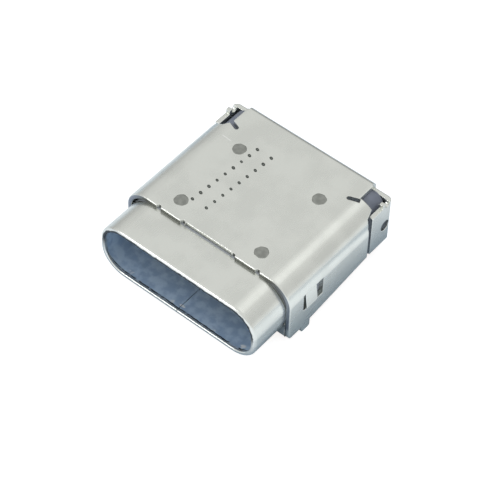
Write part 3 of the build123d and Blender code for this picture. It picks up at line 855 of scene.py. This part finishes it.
class RECEPTACLE_OT_finish_contacts(bpy.types.Operator):
    """Gives all contacts their gold pads and tin tails"""
    bl_idname = "receptacle.finish_contacts"
    bl_label = "Finish Contacts"
    bl_options = {'REGISTER', 'UNDO'}

    def execute(self, context):
        material = contact_material(context.scene.receptacle.contact)
        for name in sorted(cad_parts):
            if name.startswith("contact_"):
                dress(name, material)
        return {'FINISHED'}


class RECEPTACLE_OT_weld_spots(bpy.types.Operator):
    """Sets the four weld spots on the cover's top"""
    bl_idname = "receptacle.weld_spots"
    bl_label = "Weld Spots"
    bl_options = {'REGISTER', 'UNDO'}

    def execute(self, context):
        settings = context.scene.receptacle.weld
        material = weld_material(settings)
        radius = settings.diameter / 2
        spots = {"weld_front_left": (-1, settings.front, 0.3), "weld_front_right": (1, settings.front, 1.9),
                 "weld_rear_left": (-1, settings.rear, 4.1), "weld_rear_right": (1, settings.rear, 5.2)}
        shoulder = 0.86
        for name, (side, y, phase) in spots.items():
            def outline(turn, phase=phase):
                slow = 0.025 * np.cos(3 * turn + phase)
                quick = 0.02 * np.cos(7 * turn - 2 * phase)
                return radius * (1 + slow + quick)

            def height(out, turn, phase=phase):
                crown = 1 - np.clip((out - shoulder) / (1 - shoulder), 0, 1) ** 2
                dish = 0.75 + 0.25 * out ** 2
                ripple = 0.08 * np.cos(22 * out + 0.8 * np.cos(turn + phase))
                return settings.height * crown * (dish + ripple)

            centre = (side * settings.half_spread, y, cover_high.z)
            points, faces, _ = button(centre, outline, height, WELD_GRID, WELD_SUNK)
            spot = mesh_object(name, points, faces, material)
            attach(spot, "root")
        return {'FINISHED'}


class RECEPTACLE_OT_front_tabs(bpy.types.Operator):
    """Turns the cover's two front tabs in under the tube"""
    bl_idname = "receptacle.front_tabs"
    bl_label = "Front Tabs"
    bl_options = {'REGISTER', 'UNDO'}

    def execute(self, context):
        material = tab_material(context.scene.receptacle.steel)
        for name, side in (("front_tab_left", -1), ("front_tab_right", 1)):
            points, faces = front_tab(context.scene.receptacle.tab, side)
            tab = mesh_object(name, points, faces, material)
            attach(tab, "root")
        return {'FINISHED'}


class RECEPTACLE_OT_marking_dots(bpy.types.Operator):
    """Marks two plain rows of dots on the cover's top"""
    bl_idname = "receptacle.marking_dots"
    bl_label = "Marking Dots"
    bl_options = {'REGISTER', 'UNDO'}

    def execute(self, context):
        settings = context.scene.receptacle.dots
        material = dot_material(settings)
        radius = settings.diameter / 2
        start = np.array([-settings.front_left, settings.front])
        end = np.array([-settings.rear_left, settings.rear])
        smallest, largest = 0.85, 1.1
        longer, lean = 0.18, 0.9
        draw = np.random.default_rng(DOT_SEED)
        parts, faces, reach = [], [], []
        for aside in (0.0, settings.gap):
            for along in np.linspace(0.0, 1.0, settings.count):
                x, y = start + (end - start) * along
                size = radius * draw.uniform(smallest, largest)

                def outline(turn, size=size):
                    return size * (1 + longer * np.cos(2 * turn + lean))

                def height(out, turn):
                    return settings.height * (1 - 0.5 * out ** 2) + 0 * turn

                centre = (x + aside, y, cover_high.z)
                points, rows, shares = button(centre, outline, height, DOT_GRID, DOT_SUNK)
                offset = sum(len(part) for part in parts)
                faces += [[corner + offset for corner in face] for face in rows]
                parts.append(points)
                reach.append(shares)
        dots = mesh_object("marking_dots", np.concatenate(parts), faces, material, np.concatenate(reach))
        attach(dots, "root")
        return {'FINISHED'}


def box_distance(tree, values, box):
    """Distance from a place to a box of two corners: 0 over the box and rising all round it."""
    squares = []
    for value, low, high in zip(values, *box):
        aside = maths(tree, 'ABSOLUTE', maths(tree, 'SUBTRACT', value, (low + high) / 2))
        beyond = maths(tree, 'MAXIMUM', maths(tree, 'SUBTRACT', aside, (high - low) / 2), 0.0)
        squares.append(times(tree, beyond, beyond))
    return maths(tree, 'SQRT', maths(tree, 'ADD', *squares))


def floor_material(settings):
    """Pale floor: lit and shaded as usual, with a white glow that the eye and reflections see.

    In reflections the glow fades close to the object as painted shade, and is dimmed to the left
    of the object and in a band behind it.
    """
    material, tree, shader = new_material("pale_floor")
    tree.nodes.remove(shader)
    _, x, y, _ = place(tree)
    # Painted shade: in reflections the glow fades close to the object.
    away = step(tree, box_distance(tree, (x, y), cad_box), 0.0, settings.fade)
    left = dimmed(tree, step(tree, x, *FLOOR_LEFT), FLOOR_LEFT_LOSS)
    behind = dimmed(tree, between(tree, y, *FLOOR_BEHIND, FLOOR_BEHIND_SOFT), FLOOR_BEHIND_LOSS)
    path = node(tree, "ShaderNodeLightPath").outputs
    mirrored = maths(tree, 'ADD', path["Is Glossy Ray"], path["Is Transmission Ray"], clamp=True)
    mirrored = times(tree, mirrored, away, left, behind, settings.mirrored)
    seen = maths(tree, 'ADD', mirrored, path["Is Camera Ray"], clamp=True)
    lit = node(tree, "ShaderNodeBsdfDiffuse", {"Color": (*settings.floor, 1.0)}).outputs[0]
    glow = node(tree, "ShaderNodeEmission", {"Color": (*settings.glow, 1.0), "Strength": seen}).outputs[0]
    both = node(tree, "ShaderNodeAddShader", {0: lit, 1: glow}).outputs[0]
    put(tree, tree.nodes["Material Output"].inputs["Surface"], both)
    return material


def build_floor(settings):
    """Flat square under the feet."""
    half = settings.floor_size / 2
    corners = ((-half, -half), (half, -half), (half, half), (-half, half))
    points = np.array([(x, y, floor_level) for x, y in corners])
    floor = mesh_object("floor", points, [(0, 1, 2, 3)], floor_material(settings))


def build_sky():
    """Plain pale room: white to the eye, and in reflections darker above the horizon, left and behind."""
    world = bpy.data.worlds.new("pale_room")
    world.use_nodes = True
    tree = world.node_tree
    direction = node(tree, "ShaderNodeTexCoord").outputs["Generated"]
    aside, along, up = node(tree, "ShaderNodeSeparateXYZ", {0: direction}).outputs
    left = times(tree, step(tree, aside, *SKY_LEFT), step(tree, up, *SKY_LEFT_LOW))
    behind = times(tree, step(tree, along, *SKY_BEHIND), step(tree, up, *SKY_BEHIND_LOW))
    ramp = node(tree, "ShaderNodeValToRGB", {0: up})
    ramp.color_ramp.interpolation = 'EASE'
    while len(ramp.color_ramp.elements) < len(SKY_TONES):
        ramp.color_ramp.elements.new(0.5)
    for element, (position, level) in zip(ramp.color_ramp.elements, SKY_TONES):
        element.position = position
        element.color = (level, level, level, 1.0)
    room = tree.nodes["Background"]
    put(tree, room.inputs["Color"], ramp.outputs[0])
    strength = times(tree, dimmed(tree, left, SKY_LEFT_LOSS), dimmed(tree, behind, SKY_BEHIND_LOSS))
    put(tree, room.inputs["Strength"], strength)
    plain = node(tree, "ShaderNodeBackground", {"Color": (1.0, 1.0, 1.0, 1.0), "Strength": 1.0}).outputs[0]
    camera = node(tree, "ShaderNodeLightPath").outputs["Is Camera Ray"]
    seen = node(tree, "ShaderNodeMixShader", {0: camera, 1: room.outputs[0], 2: plain}).outputs[0]
    put(tree, tree.nodes["World Output"].inputs["Surface"], seen)
    bpy.context.scene.world = world


def build_lamp(name, location, size, radiance):
    """Soft square lamp that looks at the origin and has the given brightness over its face."""
    data = bpy.data.lights.new(name, 'AREA')
    data.shape = 'SQUARE'
    data.size = size
    data.energy = radiance * math.pi * size * size
    lamp = bpy.data.objects.new(name, data)
    lamp.location = location
    lamp.rotation_euler = (-Vector(location)).to_track_quat('-Z', 'Y').to_euler()
    lamp.visible_camera = False
    bpy.context.scene.collection.objects.link(lamp)


def build_camera(settings):
    """Camera at the photograph's angle, from its turn, height, lean and place."""
    around, up = settings.azimuth, settings.elevation
    back = Vector((math.sin(around) * math.cos(up), -math.cos(around) * math.cos(up), math.sin(up)))
    level = Vector((math.cos(around), math.sin(around), 0.0))
    upright = back.cross(level)
    lean = settings.roll
    right = level * math.cos(lean) + upright * math.sin(lean)
    upward = upright * math.cos(lean) - level * math.sin(lean)
    data = bpy.data.cameras.new("camera")
    data.sensor_width = SENSOR_WIDTH
    data.lens = settings.lens
    data.clip_start, data.clip_end = VIEW_DEPTH
    camera = bpy.data.objects.new("camera", data)
    spot = right * settings.shift_right + upward * settings.shift_up + back * settings.distance
    turn = Matrix((right, upward, back)).transposed().to_4x4()
    camera.matrix_world = Matrix.Translation(spot) @ turn
    bpy.context.scene.collection.objects.link(camera)
    bpy.context.scene.camera = camera


class RECEPTACLE_OT_stage(bpy.types.Operator):
    """Sets the pale floor, the soft light and the camera"""
    bl_idname = "receptacle.stage"
    bl_label = "Stage"
    bl_options = {'REGISTER', 'UNDO'}

    def execute(self, context):
        settings = context.scene.receptacle.stage
        build_floor(settings)
        build_sky()
        build_lamp("front_soft_box", *FRONT_LAMP, settings.front_lamp)
        build_lamp("overhead_soft_box", *OVERHEAD_LAMP, settings.overhead_lamp)
        build_camera(settings)
        context.scene.view_settings.view_transform = 'Standard'
        return {'FINISHED'}


class RECEPTACLE_PT_panel(bpy.types.Panel):
    """Lists the receptacle's settings and steps"""
    bl_idname = "RECEPTACLE_PT_panel"
    bl_label = "Receptacle"
    bl_space_type = 'VIEW_3D'
    bl_region_type = 'UI'
    bl_category = "Receptacle"

    def draw(self, context):
        layout = self.layout
        settings = context.scene.receptacle
        for part in settings.bl_rna.properties:
            group = getattr(settings, part.identifier)
            if not isinstance(group, bpy.types.PropertyGroup):
                continue
            box = layout.box()
            box.label(text=part.name)
            for entry in group.bl_rna.properties:
                if entry.identifier not in ("rna_type", "name"):
                    box.prop(group, entry.identifier)
        for operator in STEPS:
            layout.operator(operator.bl_idname)


STEPS = (RECEPTACLE_OT_finish_cover, RECEPTACLE_OT_finish_tube, RECEPTACLE_OT_finish_plates,
         RECEPTACLE_OT_finish_insulators, RECEPTACLE_OT_finish_contacts, RECEPTACLE_OT_weld_spots,
         RECEPTACLE_OT_front_tabs, RECEPTACLE_OT_marking_dots, RECEPTACLE_OT_stage)
GROUPS = (SteelSettings, ResinSettings, ContactSettings, WeldSettings, TabSettings, DotSettings,
          StageSettings, ReceptacleSettings)


def register():
    for entry in (*GROUPS, *STEPS, RECEPTACLE_PT_panel):
        bpy.utils.register_class(entry)
    bpy.types.Scene.receptacle = PointerProperty(type=ReceptacleSettings)


def unregister():
    del bpy.types.Scene.receptacle
    for entry in reversed((*GROUPS, *STEPS, RECEPTACLE_PT_panel)):
        bpy.utils.unregister_class(entry)


def main():
    """Runs every step in order."""
    register()
    bpy.ops.receptacle.finish_cover()
    bpy.ops.receptacle.finish_tube()
    bpy.ops.receptacle.finish_plates()
    bpy.ops.receptacle.finish_insulators()
    bpy.ops.receptacle.finish_contacts()
    bpy.ops.receptacle.weld_spots()
    bpy.ops.receptacle.front_tabs()
    bpy.ops.receptacle.marking_dots()
    bpy.ops.receptacle.stage()


if __name__ == "__main__":
    main()
